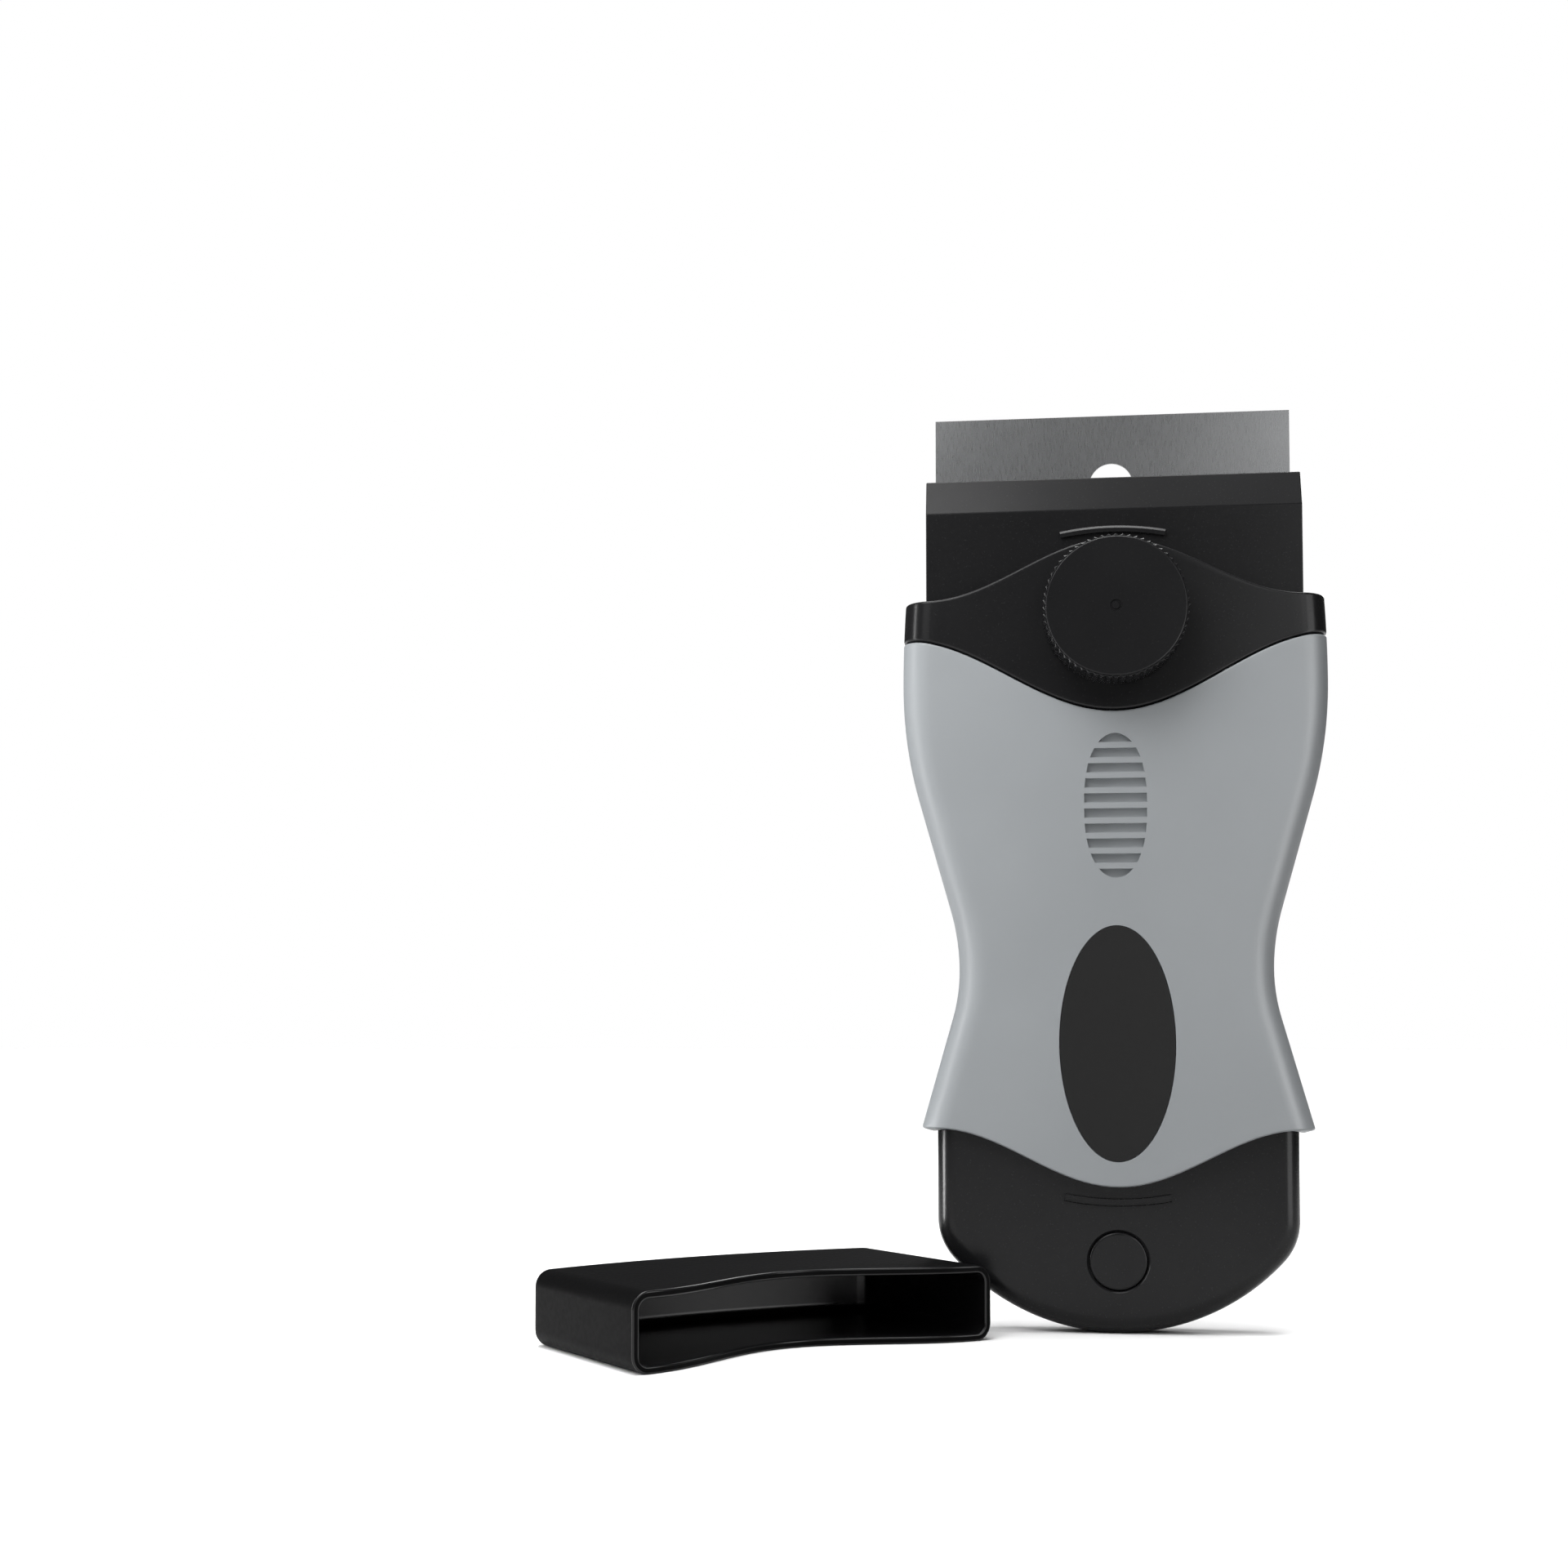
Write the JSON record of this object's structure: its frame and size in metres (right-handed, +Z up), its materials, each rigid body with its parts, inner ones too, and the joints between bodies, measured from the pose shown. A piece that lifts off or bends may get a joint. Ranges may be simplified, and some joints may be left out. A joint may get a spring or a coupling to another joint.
{
  "type": "glass scraper",
  "caption": "Upright hand scraper: wide steel blade clamped between bevelled jaws by a toothed knob, waisted two-tone handle with rounded tail, and a blade guard lying beside it.",
  "frame": {"origin": "lowest point of the tail's round foot, on the middle planes of the blade's length and thickness", "axes": "+Z up from the foot to the cutting edge, +X along the cutting edge to the right as seen from the knob's side, -Y out of the knob's side"},
  "size_m": [0.13, 0.0687, 0.1559],
  "materials": {
    "blade_steel": "ground, satin",
    "black_plastic": "moulded, satin",
    "grey_plastic": "moulded, satin",
    "inlay_plastic": "flat, matt",
    "plated_steel": "zinc plated",
    "guard_plastic": "moulded, half gloss"
  },
  "bodies": {
    "handle": {"core_front": "black_plastic", "core_back": "black_plastic", "grip_front": "grey_plastic", "grip_back": "grey_plastic", "oval_inlay": "inlay_plastic", "collar": "black_plastic", "clamp_nut": "plated_steel", "tail_plug": "black_plastic", "tail_screw": "plated_steel", "grip_screws": "plated_steel"},
    "jaw": {"front_jaw": "black_plastic", "thrust_washer": "plated_steel"},
    "knob": {"knob": "black_plastic", "clamp_stud": "plated_steel", "retaining_ring": "plated_steel"},
    "blade": {"blade": "blade_steel"},
    "guard": {"blade_guard": "guard_plastic"}
  },
  "joints": [
    {"name": "jaw_open", "type": "slide", "parent": "handle", "child": "jaw", "axis": [0, -1, 0], "range_m": [0, 0.0012]},
    {"name": "knob_turn", "type": "hinge", "parent": "jaw", "child": "knob", "pos_m": [0, -0.0113, 0.12], "axis": [0, -1, 0], "range_deg": [0, 540]},
    {"name": "blade_out", "type": "slide", "parent": "handle", "child": "blade", "axis": [0, 0, 1], "range_m": [0, 0.03]},
    {"name": "guard_off", "type": "slide", "parent": "handle", "child": "guard", "axis": [-1, 0, 0], "range_m": [0, 0.1]}
  ],
  "couplings": [
    {"joint": "knob_turn", "follows": "jaw_open", "rad_per_m": 7854}
  ]
}
